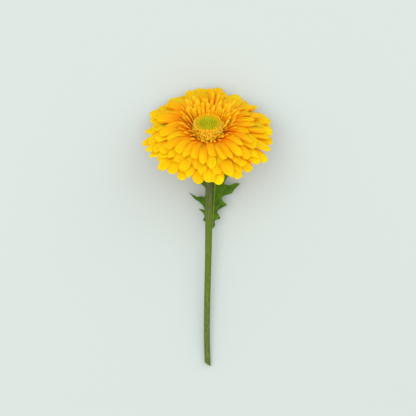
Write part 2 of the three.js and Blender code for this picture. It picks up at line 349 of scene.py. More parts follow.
PETAL_COLOUR_AND_SHADE_STOPS = [
    (0.0, colour(236, 98, 1)),
    (0.42, colour(252, 148, 1)),
    (0.66, colour(254, 180, 2)),
    (0.84, colour(253, 196, 2)),
    (1.0, colour(252, 205, 3)),
]
PETAL_GLOW = 1.5 * MM
petal_top = petal_finish(
    "petal_yellow", PETAL_COLOUR_AND_SHADE_STOPS, colour(246, 186, 100), colour(255, 208, 120), PETAL_GLOW
)
UNDER_STOPS = [
    (0.0, colour(224, 156, 24)),
    (0.3, colour(240, 168, 24)),
    (1.0, colour(252, 190, 34)),
]
petal_under = petal_finish(
    "petal_underside", UNDER_STOPS, colour(245, 214, 160), colour(255, 225, 180), PETAL_GLOW
)
# The florets' own orange, darkened towards the foot as painted shade deep among the florets of the crater.
STRAP_COLOUR_AND_SHADE_STOPS = [
    (0.0, colour(196, 90, 0)),
    (0.4, colour(246, 144, 1)),
    (0.72, colour(254, 180, 4)),
    (1.0, colour(254, 208, 36)),
]
strap_finish = petal_finish(
    "narrow_floret_orange", STRAP_COLOUR_AND_SHADE_STOPS, colour(246, 205, 140), colour(255, 226, 120), 1.0 * MM
)
# Orange towards the foot, partly the florets' own colour and partly painted shade down between them.
STUB_COLOUR_AND_SHADE_STOPS = [
    (0.0, colour(234, 126, 2)),
    (0.5, colour(255, 172, 6)),
    (0.8, colour(255, 200, 16)),
    (1.0, colour(255, 216, 60)),
]
stub_finish = petal_finish(
    "disc_floret_yellow", STUB_COLOUR_AND_SHADE_STOPS, colour(250, 225, 180), colour(255, 232, 170), 0.4 * MM
)
print("petal finishes:", petal_top.name, petal_under.name, strap_finish.name, stub_finish.name)

# %% [markdown]
# ## A petal blank
#
# A ray petal is a long strap with three shallow ribs, narrow at its foot and blunt at its tip, where it
# often shows two small notches. It could be drawn as a curve and filled, but a grid keeps tidy rows and
# columns, which bend well later. So a grid is added flat, each row of it is narrowed to the outline,
# each column is raised or sunk to make the ribs, and the tip's corners are drawn back. Solidify gives it
# a top and an underside, and one subdivision rounds its edges.


# %% Blanks
def pick(test):
    """In edit mode, selects the corners that pass a test of their place, and nothing else."""
    mesh = bmesh.from_edit_mesh(bpy.context.active_object.data)
    for corner in mesh.verts:
        corner.select = test(corner.co)
    mesh.select_flush_mode()
    bmesh.update_edit_mesh(bpy.context.active_object.data)


def near(value, target, slack=1e-5):
    return abs(value - target) < slack


def apply_modifiers(piece):
    only(piece)
    for modifier in list(piece.modifiers):
        bpy.ops.object.modifier_apply(modifier=modifier.name)


def round_off(piece):
    """Subdivides a piece once, which rounds its edges."""
    smooth = piece.modifiers.new("rounding", "SUBSURF")
    smooth.levels = 1
    smooth.render_levels = 1
    apply_modifiers(piece)
    bpy.ops.object.shade_smooth()


def carry_numbers(piece, length, half_width):
    """Gives each corner its share along and across the floret."""
    for name, axis, full in (("along", 1, length), ("across", 0, half_width)):
        numbers = piece.data.attributes.new(name, "FLOAT", "POINT")
        for number, corner in zip(numbers.data, piece.data.vertices):
            number.value = corner.co[axis] / full


def strap_blank(name, length, width, outline, ribs, tip, thickness, materials):
    """A flat strap along Y. outline is its share of the width at even steps from foot to tip, ribs its
    height at even steps across, and tip how far each column's end is drawn back."""
    columns = len(ribs) - 1
    rows = len(outline) - 1
    bpy.ops.object.select_all(action="DESELECT")
    bpy.ops.mesh.primitive_grid_add(x_subdivisions=columns, y_subdivisions=rows, size=1)
    piece = bpy.context.active_object
    piece.name = name
    bpy.ops.object.mode_set(mode="EDIT")
    bpy.ops.mesh.select_all(action="SELECT")
    bpy.ops.transform.resize(value=(width, length, 1))
    bpy.ops.transform.translate(value=(0, length / 2, 0))
    for step, rib in enumerate(ribs):
        column = width * (step / columns - 0.5)
        pick(lambda co: near(co.x, column))
        bpy.ops.transform.translate(value=(0, 0, rib))
        pick(lambda co: near(co.x, column) and near(co.y, length))
        bpy.ops.transform.translate(value=(0, -tip[step], 0))
    for step, share in enumerate(outline):
        row = length * step / rows
        draw_back = max(tip) if step == rows else 0
        pick(lambda co: row - draw_back - 1e-5 < co.y < row + 1e-5)
        bpy.ops.transform.resize(value=(share, 1, 1), center_override=(0, row, 0))
    bpy.ops.object.mode_set(mode="OBJECT")
    for material in materials:
        piece.data.materials.append(material)
    solid = piece.modifiers.new("thickness", "SOLIDIFY")
    solid.thickness = thickness
    solid.offset = -1
    solid.material_offset = len(materials) - 1
    round_off(piece)
    carry_numbers(piece, length, width / 2)
    return piece


RAY_LENGTH = 50 * MM
RAY_WIDTH = 11.6 * MM
RAY_THICKNESS = 0.38 * MM
RAY_OUTLINE = [0.30, 0.36, 0.44, 0.54, 0.65, 0.76, 0.86, 0.94, 0.99, 1.0, 0.97, 0.86, 0.62]
POINTED_OUTLINE = [0.30, 0.36, 0.44, 0.55, 0.67, 0.79, 0.90, 0.98, 1.0, 0.96, 0.84, 0.64, 0.36]
RIB = 0.32 * MM
RAY_RIBS = [-0.5 * RIB, RIB, -0.2 * RIB, 1.2 * RIB, -0.2 * RIB, RIB, -0.5 * RIB]
ROUND_TIP = [2.6 * MM, 0.9 * MM, 0.2 * MM, 0, 0.2 * MM, 0.9 * MM, 2.6 * MM]
NOTCHED_TIP = [2.8 * MM, 0.4 * MM, 2.1 * MM, 0.1 * MM, 1.8 * MM, 0.3 * MM, 2.6 * MM]
UNEVEN_TIP = [3.4 * MM, 1.6 * MM, 0.1 * MM, 1.2 * MM, 0.2 * MM, 0.8 * MM, 2.6 * MM]
ray_blanks = [
    strap_blank(f"ray_blank_{name}", RAY_LENGTH, RAY_WIDTH, outline, RAY_RIBS, tip, RAY_THICKNESS,
                [petal_top, petal_under])
    for name, outline, tip in (
        ("round", RAY_OUTLINE, ROUND_TIP),
        ("notched", RAY_OUTLINE, NOTCHED_TIP),
        ("uneven", POINTED_OUTLINE, UNEVEN_TIP),
    )
]
print("ray blank:", len(ray_blanks[0].data.polygons), "faces")

# %% [markdown]
# ## Laying a floret along its curve
#
# On the real flower each floret leaves the cup upwards and then bends over, some more than others. The
# bend tool needs a window, so a copy of a blank is bent by moving its corners: the strap's length
# follows a curve drawn in the half-plane of radius and height, and its width runs round the head. The
# same function twists the strap, sways it sideways, cups it and waves its edges.
#
# Petals on the side that lies on the table can't hang as low as the others. There the whole head is
# pushed up by a smooth amount, the same for every row, so the rows stay clear of each other.

# %% Curves and the table
FLOOR_SIDE_RADIUS = 54.7 * MM
OUTER_TIP_HEIGHT = -5.5 * MM
RESTING_SECTOR = math.radians(32)
FREE_SECTOR = math.radians(60)
DROOP = -1.2 * MM
BEND_STARTS = 20 * MM
BEND_POWER = 1.6  # the push is slight at first, and stronger towards the tips
CURVE_STEPS = 60
RESTING_STEPS = 8  # each one takes up most of the gap that the last one left


def ease(low, high, value):
    share = np.clip((value - low) / (high - low), 0, 1)
    return share * share * (3 - 2 * share)


def lift(radius, azimuth):
    """How far the table pushes a petal up, along the head's axis."""
    resting = 1 - ease(RESTING_SECTOR, FREE_SECTOR, np.abs(azimuth))
    tip_above = (
        HEAD_MIDDLE[2]
        + FLOOR_SIDE_RADIUS * np.cos(azimuth) * DOWNHILL[2]
        + OUTER_TIP_HEIGHT * FACING[2]
    )
    needed = np.maximum(-tip_above / FACING[2], DROOP)
    share = np.maximum(0, (radius - BEND_STARTS) / (FLOOR_SIDE_RADIUS - BEND_STARTS))
    return resting * needed * share**BEND_POWER


def curve_table(points):
    """Even steps along a cubic curve in the half-plane: radius, height and their direction."""
    a, b, c, d = (np.array(point) for point in points)
    t = np.linspace(0, 1, CURVE_STEPS)[:, None]
    places = (1 - t) ** 3 * a + 3 * (1 - t) ** 2 * t * b + 3 * (1 - t) * t**2 * c + t**3 * d
    run = np.concatenate([[0], np.cumsum(np.linalg.norm(np.diff(places, axis=0), axis=1))])
    share = run / run[-1]
    even = np.linspace(0, 1, CURVE_STEPS)
    radius = np.interp(even, share, places[:, 0])
    height = np.interp(even, share, places[:, 1])
    headings = np.stack([np.gradient(radius), np.gradient(height)], axis=1)
    headings /= np.linalg.norm(headings, axis=1)[:, None]
    return even, radius, height, headings


def places_of(piece):
    places = np.empty(len(piece.data.vertices) * 3)
    piece.data.vertices.foreach_get("co", places)
    return places.reshape(-1, 3)


def set_places(piece, places):
    piece.data.vertices.foreach_set("co", places.ravel())
    piece.data.update()


def same_numbers(piece, **values):
    """Gives all corners of a piece the same numbers."""
    for name, value in values.items():
        numbers = piece.data.attributes.new(name, "FLOAT", "POINT")
        numbers.data.foreach_set("value", np.full(len(piece.data.vertices), value))


def copy_of(blank, name, tone):
    """A copy with its own mesh, in which every corner carries the copy's tone."""
    piece = bpy.data.objects.new(name, blank.data.copy())
    bpy.context.scene.collection.objects.link(piece)
    same_numbers(piece, tone=tone)
    return piece


def metres(points):
    """Radii and heights given in millimetres, in metres."""
    return [(radius * MM, height * MM) for radius, height in points]


def lay(piece, length, points, azimuth, widen=1.0, twist=0.0, sway=0.0, cup=0.0, wave=0.0, phase=0.0,
        lean=0.0, rests=False):
    """Bends a flat copy along its curve and puts it in its place in the head.

    sway moves the tip sideways, cup raises both edges, wave and phase ripple the edges, lean moves the
    tip downhill, and a piece that rests is bent until its lowest corner touches the table."""
    flat = places_of(piece)
    share = flat[:, 1] / length
    even, radii, heights, headings = curve_table(points)
    radius = np.interp(share, even, radii)
    height = np.interp(share, even, heights)
    run = np.interp(share, even, headings[:, 0])
    climb = np.interp(share, even, headings[:, 1])
    sideways = flat[:, 0] * widen
    half = max(np.abs(sideways).max(), 1e-6)
    edge = sideways / half
    ripple = np.sin(math.tau * (share * 1.7 + phase)) + 0.5 * np.sin(math.tau * (share * 3.1 - phase))
    rise = flat[:, 2] + cup * edge**2 * share + wave * ripple * edge * np.abs(edge) * share
    angle = twist * share
    aside = sideways * np.cos(angle) - rise * np.sin(angle) + sway * share**2
    rise = sideways * np.sin(angle) + rise * np.cos(angle)
    radius = radius - climb * rise
    height = height + run * rise
    across = radius * math.sin(azimuth) + aside * math.cos(azimuth)
    downhill = radius * math.cos(azimuth) - aside * math.sin(azimuth) + lean * share**2
    height = height + lift(np.hypot(across, downhill), np.arctan2(across, downhill))
    extra = 0.0
    for _ in range(RESTING_STEPS if rests else 1):
        places = on_table(across, downhill, height + extra * share**3)
        low = places[:, 2].min()
        if rests or low < 0:
            extra -= low / FACING[2]
    places = on_table(across, downhill, height + extra * share**3)
    places[:, 2] = np.maximum(places[:, 2], 0)
    set_places(piece, places)


print("push at the lowest tips, mm:", round(float(lift(FLOOR_SIDE_RADIUS, 0.0)) / MM, 1))


# %% [markdown]
# ## The ray petals
#
# The head is double: its ray petals stand in five overlapping rows. The two outer rows are separate
# petals. They are the longest, and a few of them rest on the table. The three inner rows stand closer
# together, and each is finished as one piece, because the model carries each of them as one.

# %% Ray rows
# Radii and heights are in millimetres. far and near are the curve's second point at the side that lies
# on the table and at the side away from it: there the petals lean out from their feet, and here they
# stand up and arch over. wide is a petal's share of the blank's width, uneven how much lengths differ,
# twist how many degrees the tips turn, all the same way, and warmth how orange the row is.
RAY_ROWS = [
    {"name": "outer", "count": 20, "foot": -6.5, "far": (17, 5.0), "near": (20, 2.4), "arch": 4.2,
     "tip": (57.3, -5.5), "wide": 1.02, "uneven": 0.035, "twist": 0, "warmth": 0.0},
    {"name": "second", "count": 20, "foot": -4.6, "far": (17, 6.8), "near": (19.8, 4.2), "arch": 6.4,
     "tip": (55.6, -3.2), "wide": 1.0, "uneven": 0.045, "twist": 3, "warmth": 0.05},
    {"name": "third", "count": 24, "foot": -2.7, "far": (16.6, 8.8), "near": (19.4, 5.6), "arch": 8.8,
     "tip": (52.0, -0.5), "wide": 0.96, "uneven": 0.06, "twist": 6, "warmth": 0.12},
    {"name": "fourth", "count": 27, "foot": -0.8, "far": (16, 10.8), "near": (19, 6.9), "arch": 11.4,
     "tip": (47.5, 2.9), "wide": 0.92, "uneven": 0.08, "twist": 8, "warmth": 0.2},
    {"name": "inner", "count": 30, "foot": 1.1, "far": (15, 13.0), "near": (18.5, 8.2), "arch": 14.2,
     "tip": (41, 7.4), "wide": 0.82, "uneven": 0.12, "twist": 10, "warmth": 0.35},
]
RAY_FOOT_RADIUS = 10.9
ARCH_SHARE = 0.6
FLOOR_SIDE_LOSS = 0.045
NEAR_SIDE_LOSS = 0.025
chance = random.Random(11)


def nearness(azimuth):
    """1 on the side away from the table, 0 on the side that lies on it."""
    return (1 - math.cos(azimuth)) / 2


def blended(first, second, share):
    return tuple(a + (b - a) * share for a, b in zip(first, second))


def reach(azimuth):
    """The head is a little shorter where it rests on the table, and on the side opposite."""
    near_side = nearness(azimuth)
    return 1 - FLOOR_SIDE_LOSS * (1 - near_side) ** 3.5 - NEAR_SIDE_LOSS * near_side**3


def ray_points(row, azimuth):
    tip_radius = row["tip"][0] * reach(azimuth) * (1 + chance.uniform(-row["uneven"], row["uneven"]))
    tip_height = row["tip"][1] + chance.uniform(-0.8, 1.0)
    arch_radius = RAY_FOOT_RADIUS + (tip_radius - RAY_FOOT_RADIUS) * ARCH_SHARE
    rise = blended(row["far"], row["near"], nearness(azimuth) ** 1.5)
    points = [(RAY_FOOT_RADIUS, row["foot"]), rise, (arch_radius, row["arch"]), (tip_radius, tip_height)]
    return metres(points)


def ray_petal(row, number, index):
    offset = 0 if number % 2 else 0.5
    azimuth = (index + offset) * math.tau / row["count"] + math.radians(chance.uniform(-2.4, 2.4))
    azimuth = (azimuth + math.pi) % math.tau - math.pi
    rests = number == 0 and abs(azimuth) < RESTING_SECTOR
    blank = chance.choice(ray_blanks)
    name = f"ray_petal_{row['name']}_visual_{index + 1:02d}"
    # Painted shade: on the side that lies on the table, whose petals face away from the light above, the
    # row's warmth is raised up to 2.2 times.
    warmth = row["warmth"] * (2.2 - 1.2 * nearness(azimuth))
    petal = copy_of(blank, name, warmth + 0.6 * chance.random())
    lay(
        petal, RAY_LENGTH, ray_points(row, azimuth), azimuth,
        widen=row["wide"] * chance.uniform(0.88, 1.12),
        twist=math.radians(row["twist"] + chance.uniform(-6, 6)),
        sway=chance.uniform(-2.4, 2.4) * MM,
        cup=chance.uniform(-0.8, 0.3) * MM,
        wave=chance.uniform(0.1, 0.5) * MM,
        phase=chance.random(),
        rests=rests,
    )
    return petal


def hand_in(piece, slot, *nodes):
    """Makes a piece part of the object, in place of the model's plain nodes."""
    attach(piece, "root")
    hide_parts(*nodes)


def joined(pieces, name):
    only(pieces[0])
    for piece in pieces:
        piece.select_set(True)
    bpy.ops.object.join()
    pieces[0].name = name
    return pieces[0]


LOOSE_ROWS = 2  # the outermost rows, whose petals stay separate
for number, row in enumerate(RAY_ROWS):
    petals = [ray_petal(row, number, index) for index in range(row["count"])]
    if number < LOOSE_ROWS:
        for index, petal in enumerate(petals):
            hand_in(petal, "petal", f"ray_petal_{row['name']}_{index + 1:02d}")
    else:
        slot = "inner_petal" if row["name"] == "inner" else "petal"
        hand_in(joined(petals, f"ray_row_{row['name']}_visual"), slot, f"ray_row_{row['name']}")
print("ray petals:", sum(row["count"] for row in RAY_ROWS))
for blank in ray_blanks:
    bpy.data.objects.remove(blank)

# %% [markdown]
# ## The narrow florets
#
# Between the broad petals and the middle stand rings of narrow florets. They lean outwards and make the
# walls of a crater. On the side away from the table they are short and lie close behind the petals'
# arch; on the other side they are long and stand up. They are copies of one narrow, grooved strap.

# %% Narrow florets
STRAP_LENGTH = 20 * MM
STRAP_WIDTH = 3.0 * MM
STRAP_OUTLINE = [0.5, 0.6, 0.75, 0.9, 1.0, 0.95, 0.62]
STRAP_GROOVE = [0.35 * MM, 0, 0.35 * MM]
STRAP_TIP = [0.8 * MM, 0, 0.7 * MM]
STRAP_THICKNESS = 0.34 * MM
narrow_blank = strap_blank(
    "strap_blank", STRAP_LENGTH, STRAP_WIDTH, STRAP_OUTLINE, STRAP_GROOVE, STRAP_TIP,
    STRAP_THICKNESS, [strap_finish],
)
STRAP_RINGS = [
    {"node": "inner", "count": 32, "foot": 8.2, "tip": (14.5, 16.4), "short_tip": (16.6, 9.8)},
    {"node": "inner", "count": 34, "foot": 8.8, "tip": (18.0, 17.8), "short_tip": (18.4, 9.6)},
    {"node": "outer", "count": 38, "foot": 9.3, "tip": (22.5, 18.0), "short_tip": (19.8, 9.4)},
    {"node": "outer", "count": 40, "foot": 9.8, "tip": (28.0, 16.4), "short_tip": (21.2, 9.6)},
]
FLORET_BASE = 1.4  # height of the florets' feet, in millimetres as in the rings
STRAP_LEAN = 5.0 * MM  # towards the side that lies on the table


def shortness(azimuth):
    """How far a narrow floret is shortened: not at all by the table, and fully on the other side."""
    return nearness(azimuth) ** 2.5


def strap_points(ring, azimuth):
    """A curve that climbs steeply along its middle, and leans out more at the foot and the tip."""
    scale = 1 + chance.uniform(-0.12, 0.1)
    tip_radius, tip_height = (n * scale for n in blended(ring["tip"], ring["short_tip"], shortness(azimuth)))
    spread = tip_radius - ring["foot"]
    climb = tip_height - FLORET_BASE
    points = [
        (ring["foot"], FLORET_BASE),
        (ring["foot"] + 0.34 * spread, FLORET_BASE + 0.3 * climb),
        (ring["foot"] + 0.62 * spread, FLORET_BASE + chance.uniform(0.72, 0.9) * climb),
        (tip_radius, tip_height),
    ]
    return metres(points)


def strap_ring(ring):
    florets = []
    start = chance.random()
    for index in range(ring["count"]):
        azimuth = (index + start + chance.uniform(-0.3, 0.3)) * math.tau / ring["count"]
        floret = copy_of(narrow_blank, f"strap_{ring['node']}_{index}", chance.random())
        lay(
            floret, STRAP_LENGTH, strap_points(ring, azimuth), azimuth,
            widen=chance.uniform(0.75, 1.15),
            twist=math.radians(chance.uniform(-30, 30)),
            sway=chance.uniform(-1.4, 1.4) * MM,
            cup=chance.uniform(0, 0.3) * MM,
            lean=STRAP_LEAN * (1 - shortness(azimuth)) * abs(math.sin(azimuth)),
        )
        florets.append(floret)
    return florets


for node in ("inner", "outer"):
    florets = [floret for ring in STRAP_RINGS if ring["node"] == node for floret in strap_ring(ring)]
    hand_in(joined(florets, f"trans_florets_{node}_visual"), "inner_petal", f"trans_florets_{node}")
print("narrow florets:", sum(ring["count"] for ring in STRAP_RINGS))

# %% [markdown]
# ## The disc florets
#
# Round the eye stand short tubular florets. On the side away from the table they are open, each a small
# trumpet with a mouth of blunt lobes. One is made from a six-sided cylinder: its top is spread, every
# other corner is pulled out to a lobe, and the mouth is sunk by an inset. On the other sides they are
# still closed and narrow, and copies of the grooved strap stand for them. All of them stand in the
# spiral order in which such a head grows, on a low ring that closes the gaps between them.

# %% Disc florets
TURNED_SIDES = 40


def turned(name, profile, material):
    """A body turned round the head's axis. The profile runs from the axis, outwards and back to it."""
    mesh = bpy.data.meshes.new(name)
    piece = bpy.data.objects.new(name, mesh)
    bpy.context.scene.collection.objects.link(piece)
    only(piece)
    edges = [(index, index + 1) for index in range(len(profile) - 1)]
    mesh.from_pydata([(radius, 0, height) for radius, height in metres(profile)], edges, [])
    bpy.ops.object.mode_set(mode="EDIT")
    bpy.ops.mesh.select_all(action="SELECT")
    bpy.ops.mesh.spin(steps=TURNED_SIDES, angle=math.tau, center=(0, 0, 0), axis=(0, 0, 1))
    bpy.ops.mesh.select_all(action="SELECT")
    bpy.ops.mesh.remove_doubles(threshold=1e-6)
    bpy.ops.mesh.normals_make_consistent(inside=False)
    bpy.ops.object.mode_set(mode="OBJECT")
    bpy.ops.object.shade_smooth()
    places = places_of(piece)
    set_places(piece, on_table(places[:, 0], places[:, 1], places[:, 2]))
    piece.data.materials.append(material)
    return piece


STUB_LENGTH = 9 * MM
STUB_RADIUS = 0.42 * MM
THROAT_SPREAD = 1.7  # the trumpet's widths, each as a share of the one below it
MOUTH_SPREAD = 1.45
LOBE_SPREAD = 1.35
SUNFLOWER_ANGLE = math.radians(137.508)


def stub_blank():
    """A small trumpet along Y, with its foot at 0 and three blunt lobes at its mouth."""
    bpy.ops.object.select_all(action="DESELECT")
    bpy.ops.mesh.primitive_cylinder_add(
        vertices=6, radius=STUB_RADIUS, depth=STUB_LENGTH, end_fill_type="NGON", location=(0, 0, 0)
    )
    piece = bpy.context.active_object
    piece.name = "stub_blank"
    bpy.ops.object.mode_set(mode="EDIT")
    bpy.ops.mesh.select_all(action="SELECT")
    bpy.ops.transform.rotate(value=math.pi / 2, orient_axis="X", center_override=(0, 0, 0))
    bpy.ops.transform.translate(value=(0, STUB_LENGTH / 2, 0))
    pick(lambda co: near(co.y, STUB_LENGTH))
    end = (0, STUB_LENGTH, 0)
    bpy.ops.transform.translate(value=(0, -0.3 * STUB_LENGTH, 0))
    bpy.ops.mesh.extrude_region_move(TRANSFORM_OT_translate={"value": (0, 0.2 * STUB_LENGTH, 0)})
    bpy.ops.transform.resize(value=(THROAT_SPREAD, 1, THROAT_SPREAD), center_override=end)
    bpy.ops.mesh.extrude_region_move(TRANSFORM_OT_translate={"value": (0, 0.1 * STUB_LENGTH, 0)})
    bpy.ops.transform.resize(value=(MOUTH_SPREAD, 1, MOUTH_SPREAD), center_override=end)
    bpy.ops.mesh.inset(thickness=0.35 * MM, depth=0)
    bpy.ops.transform.translate(value=(0, -0.13 * STUB_LENGTH, 0))
    mouth = THROAT_SPREAD * MOUTH_SPREAD * STUB_RADIUS * 0.9
    pick(lambda co: near(co.y, STUB_LENGTH, 1e-4) and math.hypot(co.x, co.z) > mouth
         and math.cos(3 * math.atan2(co.x, co.z)) > 0.5)
    bpy.ops.transform.resize(value=(LOBE_SPREAD, 1, LOBE_SPREAD), center_override=end)
    bpy.ops.transform.translate(value=(0, 0.05 * STUB_LENGTH, 0))
    bpy.ops.object.mode_set(mode="OBJECT")
    round_off(piece)
    piece.data.materials.append(stub_finish)
    carry_numbers(piece, STUB_LENGTH, STUB_RADIUS * 3)
    return piece


stub = stub_blank()
EYE_RADIUS = 10.2
EYE_GAP = 0.5  # between the eye's edge and the first florets
DISC_WIDTH = 0.8
DISC_NEAR_WIDTH = 7.0  # what is added to it on the side away from the table
DISC_TOP = 12.9
STUB_COUNT = 180
STUB_FEET = (5.9, 2.0)  # radius of the innermost foot, and how much further out the outermost stands
STUB_CROWDING = 0.3  # florets stand closer where the disc is wider
OPEN_WIDTH = 1.15  # as a share of each blank's width
CLOSED_WIDTH = 0.62
DISC_FLOOR = [(0, FLORET_BASE), (7.4, FLORET_BASE), (10.6, 5.5), (12.6, 9.0), (10.6, 10.8), (8.8, 11.2),
              (0, 11.2)]


def eye_edge(azimuth):
    """The eye isn't round: it is wider across the head, and the florets round it crowd in unevenly."""
    return EYE_RADIUS * (1 - 0.12 * math.cos(2 * azimuth) + 0.03 * math.sin(3 * azimuth + 1))


def disc_floret(index):
    share = (index + 0.5) / STUB_COUNT
    azimuth = index * SUNFLOWER_ANGLE
    azimuth += STUB_CROWDING * math.sin(azimuth)
    near_side = nearness(azimuth) ** 4
    inner_radius = eye_edge(azimuth) + EYE_GAP
    disc_radius = inner_radius + DISC_WIDTH + DISC_NEAR_WIDTH * near_side
    radius = math.sqrt(inner_radius**2 + share * (disc_radius**2 - inner_radius**2))
    fall = (0.5 + 0.1 * near_side) * (radius - inner_radius)
    top = DISC_TOP + chance.uniform(-0.8, 0.8) - fall
    foot = STUB_FEET[0] + STUB_FEET[1] * share
    points = [(foot, FLORET_BASE), (foot + 0.3 * (radius - foot), 0.4 * top),
              (foot + 0.65 * (radius - foot), 0.75 * top), (radius, top)]
    is_open = nearness(azimuth) > 0.5 + chance.uniform(-0.15, 0.15)
    blank, length, widen = (
        (stub, STUB_LENGTH, OPEN_WIDTH) if is_open else (narrow_blank, STRAP_LENGTH, CLOSED_WIDTH)
    )
    floret = copy_of(blank, f"stub_{index}", chance.random())
    lay(
        floret, length, metres(points), azimuth,
        widen=widen * chance.uniform(0.8, 1.2),
        twist=math.radians(chance.uniform(-40, 40)),
        sway=chance.uniform(-0.8, 0.8) * MM,
    )
    return floret


stubs = [disc_floret(index) for index in range(STUB_COUNT)]
disc_floor = turned("disc_floor", DISC_FLOOR, stub_finish)
same_numbers(disc_floor, along=0.3, across=0.0, tone=0.5)
hand_in(joined([disc_floor, *stubs], "disc_florets_visual"), "disc_floret", "disc_florets")
print("disc florets:", STUB_COUNT)
bpy.data.objects.remove(stub)
bpy.data.objects.remove(narrow_blank)

# %% [markdown]
# ## The green eye
#
# The middle of the head is a button of florets that haven't opened yet. Each is a small blunt bud, and
# together they stand in the same spiral order as the rest. The buds are copies of one small ball,
# drawn out to a blunt cone, on a low dome that closes the gaps between them.

# %% Green eye
EYE_TOP = 13.4
EYE_FALL = 1.9  # how much lower the eye is at its edge
BUD_COUNT = 190
BUD_LENGTH = 2.4 * MM
BUD_WIDTH = 1.4 * MM
BUD_FOOT = colour(120, 104, 0)
BUD_TOPS = [  # from the middle of the eye to its edge
    (0.0, colour(194, 190, 8)),
    (0.5, colour(210, 190, 4)),
    (0.8, colour(240, 186, 2)),
    (1.0, colour(255, 186, 2)),
]
EYE_DOME = [(0, FLORET_BASE), (5.8, FLORET_BASE), (8.6, 8.0), (EYE_RADIUS - 0.8, EYE_TOP - 3.4),
            (6, EYE_TOP - 1.8), (0, EYE_TOP - 1.2)]


def eye_finish():
    paint = Paint("eye_green")
    grain = paint.noise(paint.place(), scale=1400.0, detail=3.0)
    top = paint.ramp(paint.measured("tone") + (grain - 0.5) * 0.3, BUD_TOPS)
    base = paint.blend(paint.measured("along").between(0.05, 0.85), BUD_FOOT, top)
    return paint.finish(base, 0.55 + grain * 0.2, grain, 0.15 * MM, Specular_IOR_Level=0.2)


eye_material = eye_finish()


def bud_blank():
    """A ball drawn out along Y, from its foot at 0 to its tip."""
    bpy.ops.object.select_all(action="DESELECT")
    bpy.ops.mesh.primitive_ico_sphere_add(subdivisions=2, radius=0.5, location=(0, 0, 0))
    piece = bpy.context.active_object
    bpy.ops.object.mode_set(mode="EDIT")
    bpy.ops.mesh.select_all(action="SELECT")
    bpy.ops.transform.resize(value=(BUD_WIDTH, BUD_LENGTH, BUD_WIDTH))
    bpy.ops.transform.translate(value=(0, BUD_LENGTH / 2, 0))
    pick(lambda co: co.y > 0.6 * BUD_LENGTH)
    bpy.ops.transform.resize(value=(0.75, 1, 0.75), center_override=(0, 0, 0))
    bpy.ops.object.mode_set(mode="OBJECT")
    bpy.ops.object.shade_smooth()
    piece.data.materials.append(eye_material)
    carry_numbers(piece, BUD_LENGTH, BUD_WIDTH / 2)
    return piece


def eye_bud(index):
    """One bud. It leans outwards and is wider the further it stands from the middle."""
    share = math.sqrt((index + 0.5) / BUD_COUNT)
    azimuth = index * SUNFLOWER_ANGLE
    radius = share * eye_edge(azimuth)
    top = EYE_TOP - EYE_FALL * share**2 + chance.uniform(-0.25, 0.25)
    lean = 0.35 * share
    foot = (radius - BUD_LENGTH / MM * lean, top - BUD_LENGTH / MM)
    tip = (radius, top)
    points = [foot, blended(foot, tip, 0.33), blended(foot, tip, 0.66), tip]
    floret = copy_of(bud, f"bud_{index}", 0.6 * share**16 + chance.uniform(0, 0.22))
    lay(floret, BUD_LENGTH, metres(points), azimuth, widen=0.8 + 0.3 * share)
    return floret


bud = bud_blank()
buds = [eye_bud(index) for index in range(BUD_COUNT)]
dome = turned("eye_dome", EYE_DOME, eye_material)
same_numbers(dome, along=0.0, tone=0.0)
hand_in(joined([dome, *buds], "green_eye_visual"), "eye", "green_eye")
bpy.data.objects.remove(bud)
print("buds:", BUD_COUNT)

# %% [markdown]
# ## Greens
#
# The cup, the bracts, the stem and the leaf are all green, but not alike. The stem is a greyish green
# that turns clearer away from the head, with fine lines along it. The leaf is darker, with paler veins.

# %% Green finishes
HEAD_ALONG = float(HEAD_MIDDLE[1])


def stem_finish():
    """Greyish under the head, clearer along the middle, and a little duller again at the cut."""
    paint = Paint("stem_green")
    place = paint.place()
    x, y, z = (paint.part(place, name) for name in "XYZ")
    lines = paint.noise(paint.point(x * 2600.0, y * 22.0, z * 2600.0), scale=1.0)
    cloud = paint.noise(paint.point(x * 120.0, y * 60.0, z * 120.0), scale=1.0)
    neck = y.between(HEAD_ALONG - 85 * MM, HEAD_ALONG - 45 * MM)
    cut = 1 - y.between(HEAD_ALONG - 200 * MM, HEAD_ALONG - 100 * MM)
    green = paint.blend(neck + (cloud - 0.5) * 0.2, colour(86, 108, 20), colour(84, 90, 52))
    green = paint.blend(cut * 0.8, green, colour(86, 96, 42))
    green = paint.blend(lines.between(0.45, 0.72) * 0.45, green, colour(140, 158, 74))
    green = paint.blend((1 - lines.between(0.25, 0.48)) * 0.5, green, colour(54, 76, 10))
    return paint.finish(green, 0.5 + lines * 0.2, lines, 0.15 * MM, Subsurface_Weight=0.08,
                        Subsurface_Scale=1.0 * MM, Specular_IOR_Level=0.15)


def pith_finish():
    paint = Paint("pith")
    cells = paint.noise(paint.place(), scale=3000.0)
    pale = paint.blend(cells, colour(190, 196, 130), colour(226, 226, 180))
    return paint.finish(pale, 0.8, cells, 0.1 * MM)


BRACT_STOPS = [
    (0.0, colour(120, 142, 64)),
    (0.7, colour(92, 120, 42)),
    (1.0, colour(120, 96, 44)),
]


def bract_finish():
    paint = Paint("bract_green")
    lines = veins(paint, across_scale=6.0, along_scale=1.5)
    green = paint.ramp(paint.measured("along"), BRACT_STOPS)
    green = paint.blend(lines.between(0.4, 0.7) * 0.4, green, colour(150, 168, 96))
    return paint.finish(green, 0.65, lines, 0.2 * MM, Specular_IOR_Level=0.2)


stem_material = stem_finish()
pith_material = pith_finish()
bract_material = bract_finish()
print("green finishes:", stem_material.name, pith_material.name, bract_material.name)

# %% [markdown]
# ## The cup and its bracts
#
# Behind the petals the receptacle closes the head. Rows of narrow pointed bracts wrap it and lie
# against the petals' backs. The cup is a profile spun round the head's axis, and the bracts are copies
# of one pointed strap.

